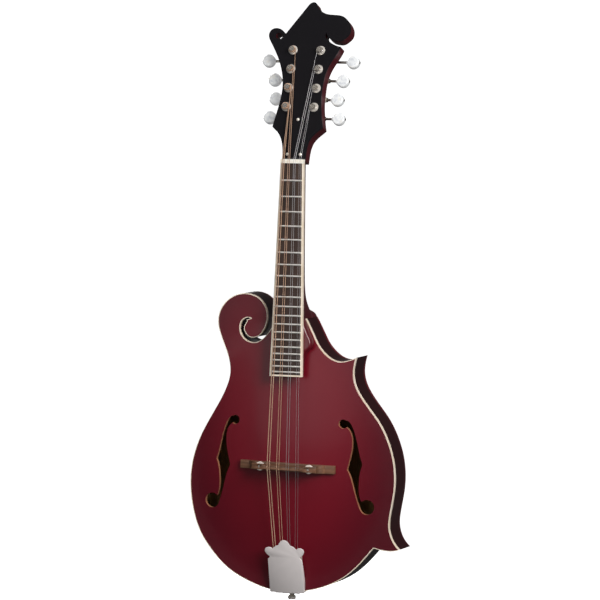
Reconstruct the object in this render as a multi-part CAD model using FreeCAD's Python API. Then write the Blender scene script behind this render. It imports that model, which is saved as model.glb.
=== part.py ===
import FreeCAD, Part
import math
import os

# F-style mandolin with a scroll and two points, carved top and back, eight strings.
# Millimetres.  X points to the treble side, Y to the back, Z up the neck.
# The origin is the centre of the strap button's head, on the button's axis.

Vec = FreeCAD.Vector
X_AXIS = Vec(1, 0, 0)
Y_AXIS = Vec(0, 1, 0)
Z_AXIS = Vec(0, 0, 1)
FAR = 800.0                 # larger than the whole instrument

# ---- driving dimensions of the body -------------------------------------------------------
FRONT_Y = -14.0             # plane of the front edge of the rim
RIM_DEPTH = 44.0            # rim depth with both plates
BACK_Y = FRONT_Y + RIM_DEPTH
PLATE = 4.6                 # thickness of the top and back plates at their glued edges
HOLLOW_START = 0.4          # extra thickness where the plates are hollowed
RIB = 2.4                   # thickness of the bent sides
BINDING = 0.9               # width of the cream edging on the front
ARCH_TOP = 12.5             # rise of the top above its edge
ARCH_BACK = 11.0            # rise of the back
ARCH_CENTRE_Z = 160.5
ARCH_HALF_WIDTH = 120.0
ARCH_HALF_UP = 165.0
ARCH_HALF_DOWN = 142.0
ARCH_POWER = 1.4
TAIL_Z = 7.5                # where the rim crosses the centre line at the tail
NECK_JOINT_Z = 327.5        # where the neck's heel meets the body
NECK_JOINT_BASS_X = -17.8
NECK_JOINT_TREBLE_X = 16.6
JOINT_WALL = (-15.6, 14.4)  # the part of the neck block that meets the heel

# ---- neck, fingerboard and headstock ------------------------------------------------------
SCALE = 353.0
FRET_COUNT = 20
NECK_TILT = 2.9             # degrees, the fingerboard leans back from the body
NUT_Y = -23.7               # the fingerboard's face at the nut
NUT_Z = 507.8
BOARD_LENGTH = 247.0
BOARD_NUT_WIDTH = 28.2
BOARD_END_WIDTH = 39.4
BOARD_THICK = 5.0
BOARD_EDGE = 1.9            # width of the board's cream edging
ROD_R = 2.4
ROD_DEPTH = BOARD_THICK + 7.0    # truss rod axis below the fingerboard's face
ROD_END = 178.0             # buried end of the truss rod, down from the nut
RISER_END_Z = 267.0         # lower end of the support under the fingerboard
RISER_ROUND = 3.0           # rounding of that support's front edges
FRET_HEIGHT = 1.0
FRET_WIDTH = 1.9
NUT_LENGTH = 4.8
HEAD_TILT = 19.1            # degrees, the headstock leans back from the body
HEAD_Y = -17.8              # face of the headstock at the nut
HEAD_Z = 512.0
OVERLAY = 1.5
HEAD_THICK = 16.0           # with the overlay

# ---- tuners -------------------------------------------------------------------------------
POST_X = 16.9
POST_FIRST = 64.0           # first posts, along the headstock from the nut
POST_PITCH = 23.2
POST_R = 3.0
POST_PROUD = 6.0
PLATE_THICK = 1.2
GEAR_TEETH = 14
GEAR_R = 4.5                # pitch radius of the gear
WORM_R = 2.6                # pitch radius of the worm
GEAR_THICK = 3.4
GEAR_OFF = 4.4              # from the plate's back to the worm's axis
TOOTH = 0.55                # tooth height above and below the pitch line
SHAFT_R = 1.5
RUN_FIT = 0.05              # radial clearance of each running fit
CENTRES = GEAR_R + WORM_R
BUTTON_REACH = (25.2, 21.0, 24.9, 34.8)   # button centre beyond its post, from the nut up
BUTTON_R = 7.5
BUTTON_THICK = 8.0
LUG_GAP = 5.6               # half the distance between a worm's two bearing lugs
LUG_THICK = 1.6

# ---- bridge and tailpiece -----------------------------------------------------------------
BRIDGE_X = 1.0
BRIDGE_SKEW = 1.4           # degrees, treble foot towards the tail
BRIDGE_LENGTH = 115.0
BRIDGE_BASE_WIDTH = 9.4
SADDLE_LENGTH = 78.0
SADDLE_WIDTH = 6.4
STUD_X = 29.7
STUD_R = 1.7
WHEEL_R = 5.3
WHEEL_THICK = 3.4
TAIL_BASE_THICK = 1.2
COVER_TILT = 14.3
COVER_HALF = 20.8
COVER_SHEET = 1.1
BUTTON_HEAD_R = 4.7
BUTTON_HEAD_LEN = 4.6

# ---- strings: gauge of each string from the bass side, in pairs ---------------------------
STRING_D = (0.95, 0.95, 0.66, 0.66, 0.40, 0.40, 0.28, 0.28)
NUT_SPAN = 22.4
BRIDGE_SPAN = 38.0
TAIL_SPAN = 32.0
PAIR_GAP_NUT = 2.0
PAIR_GAP_BRIDGE = 2.9


# ---- small helpers ------------------------------------------------------------------------
def xz(x, z, y=0.0):
    """A point given as it is seen from the front."""
    return Vec(x, y, z)


def spline(points, start=None, end=None):
    """A smooth edge through (x, z) points, with optional end directions."""
    curve = Part.BSplineCurve()
    nodes = [xz(*p) for p in points]
    if start and end:
        reach = sum((b - a).Length for a, b in zip(nodes, nodes[1:])) / len(nodes)
        curve.interpolate(nodes, InitialTangent=xz(*start) * reach, FinalTangent=xz(*end) * reach)
    else:
        curve.interpolate(nodes)
    return curve.toShape()


def polyline(points):
    """Straight edges joining (x, z) points."""
    nodes = [xz(*p) for p in points]
    return [Part.makeLine(a, b) for a, b in zip(nodes, nodes[1:])]


def closed(points):
    """A closed straight-sided wire through (x, z) points."""
    return Part.Wire(polyline(list(points) + [points[0]]))


def prism(wire, y_from, y_to):
    """A front-view outline made solid between two depths."""
    face = Part.Face(wire)
    face.translate(Vec(0, y_from, 0))
    solid = face.extrude(Vec(0, y_to - y_from, 0))
    return solid


def section_prism(points, x_from, x_to):
    """A closed (y, z) section made solid between two places across."""
    nodes = [Vec(x_from, y, z) for y, z in points + points[:1]]
    wire = Part.Wire([Part.makeLine(a, b) for a, b in zip(nodes, nodes[1:])])
    return Part.Face(wire).extrude(Vec(x_to - x_from, 0, 0))


def box(x0, x1, y0, y1, z0, z1):
    """A box between two corners."""
    return Part.makeBox(x1 - x0, y1 - y0, z1 - z0, Vec(x0, y0, z0))


def rod(radius, start, direction, length):
    """A round bar from a point along a direction."""
    return Part.makeCylinder(radius, length, start, direction)


def revolve_z(profile):
    """A turned piece from an (r, z) profile about the Z axis."""
    wire = Part.Wire(polyline([(r, z) for r, z in profile] + [profile[0]]))
    return Part.Face(wire).revolve(Vec(0, 0, 0), Z_AXIS, 360)


def one(shape):
    """The single solid of a boolean result, or all of them as one compound."""
    solids = shape.Solids
    return solids[0] if len(solids) == 1 else Part.makeCompound(solids)


def fuse(shapes):
    """All shapes as one solid."""
    result = shapes[0].multiFuse(shapes[1:]) if len(shapes) > 1 else shapes[0]
    return one(result.removeSplitter())


def board_place():
    """Frame of the fingerboard: X across, Y into the neck, Z towards the nut's end."""
    return FreeCAD.Placement(Vec(0, NUT_Y, NUT_Z), FreeCAD.Rotation(X_AXIS, -NECK_TILT))


def head_place():
    """Frame of the headstock: X across, Y into its back, Z along it from the nut."""
    return FreeCAD.Placement(Vec(0, HEAD_Y, HEAD_Z), FreeCAD.Rotation(X_AXIS, -HEAD_TILT))


def bridge_place():
    """Frame of the bridge: X along it, Y into the top, Z up the neck, at its centre line."""
    across = board_place().multVec(Vec(0, 0, -SCALE))
    skew = FreeCAD.Rotation(Y_AXIS, BRIDGE_SKEW)
    return FreeCAD.Placement(Vec(BRIDGE_X, 0, across.z), skew)


def placed(shape, placement):
    """A copy of the shape moved rigidly by a placement."""
    copy = shape.copy()
    copy.Placement = placement.multiply(copy.Placement)
    return copy


def fret_distance(number):
    """Distance of a fret from the nut, down the board."""
    return SCALE * (1 - 2 ** (-number / 12.0))


def board_half(distance):
    """Half the board's width at a distance from the nut."""
    return (BOARD_NUT_WIDTH + (BOARD_END_WIDTH - BOARD_NUT_WIDTH) * distance / BOARD_LENGTH) / 2


# ---- body outline -------------------------------------------------------------------------
def bass_bout():
    """From the tail round the bass side, past the waist, over the scroll to its eye."""
    return spline(
        [(0, TAIL_Z), (-26, 10.2), (-52.5, 19.3), (-75.5, 32.5), (-94.5, 51.3), (-110, 74),
         (-119, 100.5), (-122.7, 128), (-120.5, 156), (-111.5, 184), (-96, 213), (-80.5, 242),
         (-75, 264.5), (-77.2, 278), (-82.6, 292.7), (-88, 306.5), (-91, 319), (-90.5, 328),
         (-86.8, 337.5), (-80.6, 345.3), (-72.5, 351), (-62.5, 354.3), (-52.3, 354.2),
         (-42.4, 350.5), (-35.2, 343.8), (-31.2, 335.5), (-30.4, 326.5), (-32.2, 318),
         (-36.4, 309.8), (-41.8, 305), (-48, 303.3), (-54, 305), (-58, 310), (-58.6, 316.5),
         (-55.6, 322.6), (-50.5, 325.6)],
        (-1, 0), (1, 0.25))


def slot_wall():
    """The outer wall of the scroll's slot, from the eye round to the neck block."""
    return spline(
        [(-50.5, 325.6), (-56.6, 326), (-61.6, 322.6), (-63.9, 316.5), (-63.5, 310.2),
         (-60.3, 303.8), (-54.8, 299.5), (-47.8, 297.8), (-39.7, 299.7), (-33.2, 304.8),
         (-28, 311.2), (-22.7, 319.4), (NECK_JOINT_BASS_X, NECK_JOINT_Z)])


def treble_edges():
    """From the neck down the treble side, round both points, back to the tail."""
    upper_point = (78.8, 284.5)
    lower_point = (134.5, 63.3)
    inner_corner = (103, 63.8)
    cutaway = spline([(NECK_JOINT_TREBLE_X, NECK_JOINT_Z), (21.8, 318), (27.4, 306.7),
                      (33, 296.3), (40, 288.2), (48.6, 281.8), (59.5, 279), (70, 281),
                      upper_point])
    bout = spline([upper_point, (76.5, 275), (75.6, 264.5), (78.4, 251.6), (86.4, 237.3),
                   (98.5, 221.8), (109.6, 206.5), (118.7, 188), (124.8, 169), (127.4, 149),
                   (127, 132), (124.7, 116.5), (121.9, 100), (121.3, 91), (122.4, 83),
                   (125.4, 74.5), (129.6, 68), lower_point])
    point_foot = spline([lower_point, (124.4, 60.9), (113.6, 61.5), inner_corner])
    tail = spline([inner_corner, (91.3, 50), (73, 31.8), (47, 17), (20, 9.4), (0, TAIL_Z)])
    return [cutaway, bout, point_foot, tail]


def outline():
    """The body's whole outline, at its outer edge."""
    joint = Part.makeLine(xz(NECK_JOINT_BASS_X, NECK_JOINT_Z),
                          xz(NECK_JOINT_TREBLE_X, NECK_JOINT_Z))
    edges = arcs_of([bass_bout(), slot_wall()]) + [joint] + arcs_of(treble_edges())
    return Part.Wire(Part.sortEdges(edges)[0])


def arcs_of(edges):
    """Smooth edges as chains of tangent arcs."""
    chain = []
    for edge in edges:
        chain += [arc.toShape() for arc in edge.Curve.toBiArcs(0.05)]
    return chain


def inset(wire, distance):
    """The outline moved inwards by a distance."""
    return wire.makeOffset2D(-distance, 0, False, False, True)


# ---- carved plates ------------------------------------------------------------------------
def arch(x, z, rise):
    """Rise of a carved plate at a place."""
    half = ARCH_HALF_UP if z > ARCH_CENTRE_Z else ARCH_HALF_DOWN
    radial = (x / ARCH_HALF_WIDTH) ** 2 + ((z - ARCH_CENTRE_Z) / half) ** 2
    return rise * max(0.0, 1.0 - radial) ** ARCH_POWER


def arched_face(y_edge, rise, out):
    """A wide carved surface; out is -1 for the top and 1 for the back."""
    columns = [-150 + 12.5 * i for i in range(25)]
    rows = [-20 + 12.5 * i for i in range(32)]
    grid = [[Vec(x, y_edge + out * arch(x, z, rise), z) for z in rows] for x in columns]
    surface = Part.BSplineSurface()
    surface.interpolate(grid)
    return surface.toShape()


def carved_plate(wire, hollow_wire, y_edge, rise, out):
    """A plate with a flat glued edge, carved outside and hollowed inside."""
    low, high = sorted((y_edge - out * PLATE, y_edge + out * 40))
    outside = arched_face(y_edge, rise, out).extrude(Vec(0, -out * 60, 0))
    hollowing = hollow(y_edge, rise, out).common(prism(hollow_wire, -60, 60))
    return prism(wire, low, high).common(outside).cut(hollowing)


def hollow(y_edge, rise, out):
    """Everything on the inner side of a plate's hollowed face."""
    inner_edge = y_edge - out * (PLATE + HOLLOW_START)
    return arched_face(inner_edge, rise, out).extrude(Vec(0, -out * 60, 0))


def top_plate(edge, hollow_wire):
    """The carved top, inside its binding, with both sound holes."""
    plate = carved_plate(edge, hollow_wire, FRONT_Y, ARCH_TOP, -1)
    for side in (-1, 1):
        plate = plate.cut(sound_hole(side))
    return one(plate)


def back_plate(edge, hollow_wire):
    """The carved back, flush with the sides."""
    return one(carved_plate(edge, hollow_wire, BACK_Y, ARCH_BACK, 1))


def sound_hole(side):
    """An f-shaped hole with two round eyes, cut right through; side is 1 on the treble side."""
    stem = [(69.5, 212), (74.2, 208.5), (78.6, 200), (82.2, 188), (85.2, 174.5), (89.3, 161),
            (86.6, 151.5), (85.2, 138), (85.6, 126), (88.5, 117)]
    back = [(86.4, 108.3), (82.3, 120.5), (78.4, 135), (75, 146.5), (71.3, 154.3), (74, 165),
            (76.6, 178), (76.9, 189), (74.3, 198.5), (69.5, 203.5)]
    outer = [spline([(side * x, z) for x, z in stem[:6]]),
             spline([(side * x, z) for x, z in stem[5:]])]
    inner = [spline([(side * x, z) for x, z in back[:5]]),
             spline([(side * x, z) for x, z in back[4:]])]
    ends = polyline([(side * stem[-1][0], stem[-1][1]), (side * back[0][0], back[0][1])])
    ends += polyline([(side * back[-1][0], back[-1][1]), (side * stem[0][0], stem[0][1])])
    body = prism(Part.Wire(outer + ends[:1] + inner + ends[1:]), -60, 0)
    upper_eye = rod(5.3, xz(side * 65.8, 207.3, -60), Y_AXIS, 60)
    lower_eye = rod(8.7, xz(side * 94.6, 111.2, -60), Y_AXIS, 60)
    return body.fuse([upper_eye, lower_eye])


def ribs(outer, inner):
    """The bent sides: one bass rib and three treble ribs, parted at the tail and the points."""
    shell = prism(outer, FRONT_Y + PLATE, BACK_Y - PLATE)
    shell = shell.cut(prism(inner, FRONT_Y, BACK_Y))
    joint_side = box(JOINT_WALL[0], JOINT_WALL[1], -FAR, FAR, 300, FAR)
    shell = shell.cut(joint_side)
    bass = shell.common(box(-FAR, 0, -FAR, FAR, -FAR, FAR))
    treble = shell.common(box(0, FAR, -FAR, FAR, -FAR, FAR))
    lower = treble.common(box(0, FAR, -FAR, FAR, -FAR, 63.3))
    middle = treble.common(box(0, FAR, -FAR, FAR, 63.3, 284.5)).common(
        prism(closed([(78.8, 284.5), (60, 262), (60, 60), (200, 60), (200, 284.5)]), -60, 60))
    upper = treble.cut(lower).cut(middle)
    return largest(bass), Part.makeCompound([largest(lower), largest(middle), largest(upper)])


def largest(shape):
    """The solid with the most volume."""
    return max(shape.Solids, key=lambda s: s.Volume)


def head_block_region():
    """Front-view region of the neck block, which carries on into the scroll."""
    return closed([(-130, 300), (-70, 290), (-24, 276), (24, 276), (24, 400), (-130, 400)])


def inner_blocks(inner):
    """The solid blocks between the plates: neck with scroll, tail and points."""
    depth = (FRONT_Y + PLATE, BACK_Y - PLATE)
    core = prism(inner, *depth)
    neck_block = core.common(prism(head_block_region(), *depth))
    joint_wall = box(*JOINT_WALL, *depth, NECK_JOINT_Z - 2 * RIB, NECK_JOINT_Z)
    neck_block = one(neck_block.fuse(joint_wall))
    tail_block = core.common(box(-26, 26, depth[0], depth[1], 0, TAIL_Z + 21))
    upper = core.common(prism(closed([(56, 300), (56, 270), (85, 262), (85, 300)]), *depth))
    lower = core.common(prism(closed([(100, 50), (100, 71), (113, 90), (150, 90), (150, 50)]),
                              *depth))
    return largest(neck_block), largest(tail_block), largest(upper), largest(lower)


def lining(inner, inner_deep, y0, y1, blocks):
    """A glued strip along the inside of the sides, stopped at the blocks."""
    strip = prism(inner, y0, y1).cut(prism(inner_deep, y0 - 1, y1 + 1))
    strip = strip.cut(prism(head_block_region(), y0 - 1, y1 + 1))
    for block in blocks:
        strip = strip.cut(block)
    return Part.makeCompound([s for s in strip.Solids if s.Volume > 200])


def tone_bars():
    """Two spruce bars under the top, shaped to its inside."""
    under = hollow(FRONT_Y, ARCH_TOP, -1)
    bars = []
    for side, lean in ((-1, -7), (1, 5)):
        bar = Part.makeBox(6, 30, 205, Vec(-3, -30, -102.5))
        bar.rotate(Vec(0, 0, 0), Y_AXIS, side * 1.0 * abs(lean))
        bar.translate(Vec(side * 36, 0, 152))
        lower = arched_face(FRONT_Y + PLATE + 10, ARCH_TOP * 0.8, -1).extrude(Vec(0, 60, 0))
        bars.append(largest(bar.common(under).cut(lower)))
    return bars


# ---- neck ---------------------------------------------------------------------------------
def neck_section(distance, half, depth, flat):
    """A rounded section across the neck, at a distance below the nut."""
    top = Part.makeLine(Vec(-half, BOARD_THICK, -distance), Vec(half, BOARD_THICK, -distance))
    full = BOARD_THICK + depth
    curve = Part.BSplineCurve()
    curve.interpolate([Vec(half, BOARD_THICK, -distance),
                       Vec(half * (0.93 + 0.05 * flat), BOARD_THICK + depth * 0.42, -distance),
                       Vec(half * (0.62 + 0.22 * flat), BOARD_THICK + depth * 0.84, -distance),
                       Vec(0, full, -distance),
                       Vec(-half * (0.62 + 0.22 * flat), BOARD_THICK + depth * 0.84, -distance),
                       Vec(-half * (0.93 + 0.05 * flat), BOARD_THICK + depth * 0.42, -distance),
                       Vec(-half, BOARD_THICK, -distance)])
    return Part.Wire([top, curve.toShape()])


def neck_shaft():
    """The neck's handle and its heel down to the body."""
    nut_end = -NUT_LENGTH
    handle = [neck_section(nut_end, board_half(0), 14.6, 0.0),
              neck_section(60, board_half(60), 15.4, 0.0),
              neck_section(118, board_half(118), 16.6, 0.05),
              neck_section(138, board_half(138), 18.4, 0.1)]
    heel = [handle[-1],
            neck_section(150, board_half(150) + 0.1, 22.5, 0.2),
            neck_section(162, board_half(162) + 0.1, 32.0, 0.4),
            neck_section(170, board_half(170) - 0.2, 43.0, 0.65),
            neck_section(184, board_half(184) - 0.8, 56.0, 1.0)]
    solids = [Part.makeLoft(part, True, False) for part in (handle, heel)]
    shaft = solids[0].fuse(solids[1])
    return placed(shaft, board_place())


def head_outline():
    """The headstock's front outline, along the head from the nut, in (x, z)."""
    left = [spline([(-board_half(0), -1), (-15.2, 12.6), (-18.7, 25), (-23.6, 32.8), (-30.8, 39.2)]),
            spline([(-30.8, 39.2), (-28.1, 54.4), (-25.5, 69.4), (-24.3, 82.5), (-25, 95.6),
                    (-27.8, 107.9), (-32.4, 120.3), (-38.8, 132.5), (-45.4, 143.4),
                    (-48.7, 151.4), (-46.9, 157.4), (-41.6, 160.2), (-34.6, 159), (-28.6, 153)]),
            Part.makeLine(xz(-28.6, 153), xz(-4.1, 189.2))]
    crown = [spline([(-4.1, 189.2), (-1.2, 192), (2, 192.9), (5.4, 191)]),
             spline([(5.4, 191), (9.6, 184.4), (17.4, 179.2), (30, 177.6), (39.8, 175.8),
                     (47, 169.6), (50.6, 161.8), (49.9, 154.2), (46, 149.4), (41, 146),
                     (35.2, 145.6), (29.4, 146.9), (24.8, 149.9), (22.3, 153.4), (21.7, 155.6)])]
    right = [spline([(21.7, 155.6), (20.5, 153.6), (21.6, 149.4), (25.4, 145.4), (30.2, 142.2),
                     (35.2, 139.9), (40.8, 138.6)]),
             spline([(40.8, 138.6), (36.4, 128.4), (30, 116.4), (26, 104.2), (24.7, 94), (24.4, 82),
                     (25.1, 69.4), (27, 57), (28.9, 47.2), (30.8, 39.6)]),
             spline([(30.8, 39.6), (23.4, 32.8), (17.6, 25.6), (14.8, 16), (board_half(0), -1)])]
    base = Part.makeLine(xz(board_half(0), -1), xz(-board_half(0), -1))
    return Part.Wire(left + crown + right + [base])


def head_slab(y0, y1):
    """The headstock's outline as a slab in its own frame, with the small tear-shaped hole."""
    slab = prism(head_outline(), y0, y1)
    tip = (-31.2, 151.4)
    hole = [tip, (-32.4, 148.2), (-35, 146.8), (-38, 147.5), (-40, 150.2), (-39.8, 153),
            (-37.5, 154.6), (-34.2, 153.8), tip]
    return slab.cut(prism(Part.Wire([spline(hole)]), y0 - 1, y1 + 1))


def post_places():
    """Number, side, place along the headstock and button reach of each tuner."""
    rows = [(i, POST_FIRST + POST_PITCH * i, BUTTON_REACH[i]) for i in range(4)]
    bass = [(i + 1, -1, along, reach) for i, along, reach in rows]
    treble = [(i + 5, 1, along, reach) for i, along, reach in rows]
    return bass + treble


def rod_channel():
    """Cutter for the truss rod's channel and its pocket above the nut, in the board's frame."""
    channel = box(-3.2, 3.2, BOARD_THICK - 1, ROD_DEPTH + 3, -ROD_END - 2, NUT_LENGTH + 2)
    return placed(channel, board_place())


def rod_pocket():
    """Cutter for the adjusting nut's pocket in the headstock's face, in the head's frame."""
    return placed(pocket_box(), head_place())


def pocket_box():
    """The adjusting nut's pocket, in the head's frame."""
    return box(-5.2, 5.2, -1, 10.5, 1.6, 25)


def heel_foot():
    """The heel's broad foot, which flares out to the width of the body's joint."""
    flare = [(15.9, NECK_JOINT_Z), (14.9, 330), (12.7, 332.3), (9.6, 334.1)]
    mirror = [(-x, z) for x, z in reversed(flare)]
    outline_edges = [spline(flare), spline([flare[-1], (0, 336.6), mirror[0]]), spline(mirror)]
    base = Part.makeLine(xz(*mirror[-1]), xz(*flare[0]))
    return prism(Part.Wire(outline_edges + [base]), 10, BACK_Y)


def neck():
    """Neck, heel and headstock in one piece of maple, bored for the tuners."""
    slab = placed(head_slab(OVERLAY, HEAD_THICK), head_place())
    shaft = neck_shaft().cut(placed(box(-60, 60, -20, OVERLAY, 0, 60), head_place()))
    body = fuse([shaft, slab, heel_foot()])
    body = body.cut(rod_channel()).cut(rod_pocket())
    body = body.cut([placed(post_hole(side, along), head_place())
                     for _, side, along, _ in post_places()])
    return largest(body.cut(box(-60, 60, -100, 100, 200, NECK_JOINT_Z)))


def post_hole(side, along):
    """Bore for a string post and its bushing, in the head's frame."""
    start = Vec(side * POST_X, -1, along)
    narrow = rod(POST_R + 0.4, start, Y_AXIS, HEAD_THICK + 2)
    return narrow.fuse(rod(4.0, start, Y_AXIS, 8.0))


def headstock_overlay():
    """The black face of the headstock."""
    slab = head_slab(0, OVERLAY).cut(box(-60, 60, -1, 2, -5, 0))
    slab = slab.cut([post_hole(side, along) for _, side, along, _ in post_places()])
    slab = slab.cut(pocket_box())
    return largest(placed(slab, head_place()))


def truss_rod():
    """Steel rod in its channel under the fingerboard."""
    bar = rod(ROD_R, Vec(0, ROD_DEPTH, -ROD_END + 4), Z_AXIS, ROD_END - 4 + 10.0)
    anchor = box(-3.0, 3.0, ROD_DEPTH - 3, ROD_DEPTH + 3, -ROD_END, -ROD_END + 6)
    return placed(fuse([bar, anchor]), board_place())


def truss_nut():
    """Brass adjusting nut on the end of the truss rod."""
    corners = [Vec(3.3 * math.cos(math.radians(60 * i)), 3.3 * math.sin(math.radians(60 * i)), 0)
               for i in range(7)]
    wire = Part.Wire([Part.makeLine(a, b) for a, b in zip(corners, corners[1:])])
    body = Part.Face(wire).extrude(Vec(0, 0, 5.0))
    body = body.cut(rod(ROD_R + RUN_FIT, Vec(0, 0, -1), Z_AXIS, 9))
    body.translate(Vec(0, ROD_DEPTH, 7.4))
    return placed(one(body), board_place())


def cover_outline():
    """Bell-shaped outline of the truss rod cover, in the head's frame."""
    side = [(3.6, 51.6), (6.4, 45), (6.6, 35), (7.2, 26), (9.4, 17), (11.4, 9), (11.8, 1.4)]
    mirror = [(-x, z) for x, z in reversed(side)]
    crown = spline([mirror[-1], (0, 53.4), side[0]])
    return Part.Wire([spline(side), Part.makeLine(xz(*side[-1]), xz(*mirror[0])),
                      spline(mirror), crown])


COVER_SCREWS = ((0, 48.2), (-7.9, 5.8), (7.9, 5.8))
COVER_THICK = 1.8


def truss_rod_cover():
    """Black cover over the adjusting nut's pocket."""
    plate = prism(cover_outline(), -COVER_THICK, 0)
    for x, z in COVER_SCREWS:
        plate = plate.cut(rod(1.1, Vec(x, -5, z), Y_AXIS, 10))
    return placed(one(plate), head_place())


def screw(head_r, shank_r, head_len, shank_len):
    """A small domed wood screw: its head stands at -Y and its shank points to +Y."""
    dome = Part.makeSphere(head_r * 1.25, Vec(0, 0, 0), Y_AXIS)
    dome.translate(Vec(0, head_r * 1.25 - head_len, 0))
    head = dome.common(rod(head_r, Vec(0, -head_len, 0), Y_AXIS, head_len))
    slot = box(-head_r, head_r, -head_len - 1, -head_len * 0.45, -0.25, 0.25)
    shank = rod(shank_r, Vec(0, 0, 0), Y_AXIS, shank_len)
    return fuse([head.cut(slot), shank])


def headstock_screws():
    """Screws of the truss rod cover and of both tuner plates."""
    screws = []
    for x, z in COVER_SCREWS:
        item = screw(1.9, 1.1, 1.0, COVER_THICK)
        item.translate(Vec(x, -COVER_THICK, z))
        screws.append(placed(item, head_place()))
    for side in (-1, 1):
        for along in plate_screws():
            item = screw(1.9, 1.1, 1.1, PLATE_THICK)
            item.rotate(Vec(0, 0, 0), Z_AXIS, 180)
            item.translate(Vec(side * plate_screw_x(), HEAD_THICK + PLATE_THICK, along))
            screws.append(placed(item, head_place()))
    return Part.makeCompound(screws)


def plate_screws():
    """Places of a tuner plate's screws along the headstock."""
    return [POST_FIRST - CENTRES / 2 + POST_PITCH * (i - 0.5) - 0.8 for i in range(5)]


def plate_screw_x():
    """Distance of the tuner plate's screws from the centre line."""
    return POST_X


def nut():
    """The slotted nut at the top of the fingerboard."""
    block = box(-board_half(0), board_half(0), -1.7, BOARD_THICK, 0.0, NUT_LENGTH)
    block = block.cut([slot for slot in nut_slots()])
    return largest(placed(block, board_place()))


def nut_slots():
    """Rounded slots that hold the strings, in the board's frame."""
    return [rod(d / 2 + 0.03, Vec(x, string_nut_y(), -2), Z_AXIS, 12).fuse(
        box(x - d / 2 - 0.03, x + d / 2 + 0.03, -5, string_nut_y(), -2, 10))
        for x, d in zip(pair_places(NUT_SPAN, PAIR_GAP_NUT), STRING_D)]


def string_nut_y():
    """Depth of the strings' centre lines at the nut, in the board's frame."""
    return -1.45


# ---- fingerboard --------------------------------------------------------------------------
def board_outline(edge):
    """The fingerboard's outline, drawn in by an edge width on its sides and body end."""
    end = BOARD_LENGTH - edge
    return closed([(-board_half(0) + edge, 0), (-board_half(end) + edge, -end),
                   (board_half(end) - edge, -end), (board_half(0) - edge, 0)])


def fretboard():
    """Rosewood fingerboard with its fret slots."""
    board = prism(board_outline(BOARD_EDGE), 0, BOARD_THICK)
    slots = [box(-40, 40, -1, 1.6, -fret_distance(n) - 0.3, -fret_distance(n) + 0.3)
             for n in range(1, FRET_COUNT + 1)]
    return largest(placed(board.cut(slots), board_place()))


def fretboard_binding():
    """Cream edging round the fingerboard's sides and end."""
    strip = prism(board_outline(0), 0, BOARD_THICK).cut(prism(board_outline(BOARD_EDGE), -1, 9))
    return largest(placed(strip, board_place()))


def frets():
    """Nickel frets: a crowned wire with a tang in its slot."""
    wires = []
    for number in range(1, FRET_COUNT + 1):
        at = fret_distance(number)
        half = board_half(at) - BOARD_EDGE
        radius = (FRET_WIDTH ** 2 / 4 + FRET_HEIGHT ** 2) / (2 * FRET_HEIGHT)
        crown = rod(radius, Vec(-half, radius - FRET_HEIGHT, -at), X_AXIS, 2 * half)
        crown = crown.common(box(-half, half, -3, 0, -at - 3, -at + 3))
        tang = box(-half, half, 0, 1.6, -at - 0.3, -at + 0.3)
        wires.append(placed(fuse([crown, tang]), board_place()))
    return Part.makeCompound(wires)


def board_riser():
    """Rounded support between the top and the end of the fingerboard."""
    half = board_half(BOARD_LENGTH)
    treble = spline([(16.2, NECK_JOINT_Z), (19.9, 318.5), (24, 309.5), (27.6, 301.4),
                     (27.2, 294.8), (22.8, 290.4), (19.4, 284), (half - 2.4, RISER_END_Z)])
    bass = spline([(2.4 - half, RISER_END_Z), (-18.4, 288), (-19.8, 302), (-19.9, 314),
                   (-16.2, NECK_JOINT_Z)])
    ends = polyline([(half - 2.4, RISER_END_Z), (2.4 - half, RISER_END_Z)])
    ends += polyline([(-16.2, NECK_JOINT_Z), (16.2, NECK_JOINT_Z)])
    block = prism(Part.Wire([treble, ends[0], bass, ends[1]]), -45, FRONT_Y)
    above = placed(box(-60, 60, -60, BOARD_THICK, -400, 60), board_place())
    block = block.cut(above)
    crest = [edge for edge in block.Edges if edge.BoundBox.YMax < -22 and edge.Length > 40]
    block = block.makeFillet(RISER_ROUND, crest)
    front_air = arched_face(FRONT_Y, ARCH_TOP, -1).extrude(Vec(0, -60, 0))
    return largest(block.common(front_air))


# ---- tuners, in the headstock's frame -----------------------------------------------------
def tuner_bushings():
    """Pressed bushings with a round flange on the face, one for each post."""
    rings = []
    for _, side, along, _ in post_places():
        at = Vec(side * POST_X, 0, along)
        flange = Part.makeCone(5.6, 4.8, 1.2, at, Vec(0, -1, 0))
        sleeve = rod(4.0, at, Y_AXIS, 7.0)
        bore = rod(POST_R + RUN_FIT, at - Y_AXIS * 5, Y_AXIS, 20)
        rings.append(placed(fuse([flange, sleeve]).cut(bore), head_place()))
    return Part.makeCompound([one(r) for r in rings])


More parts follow.
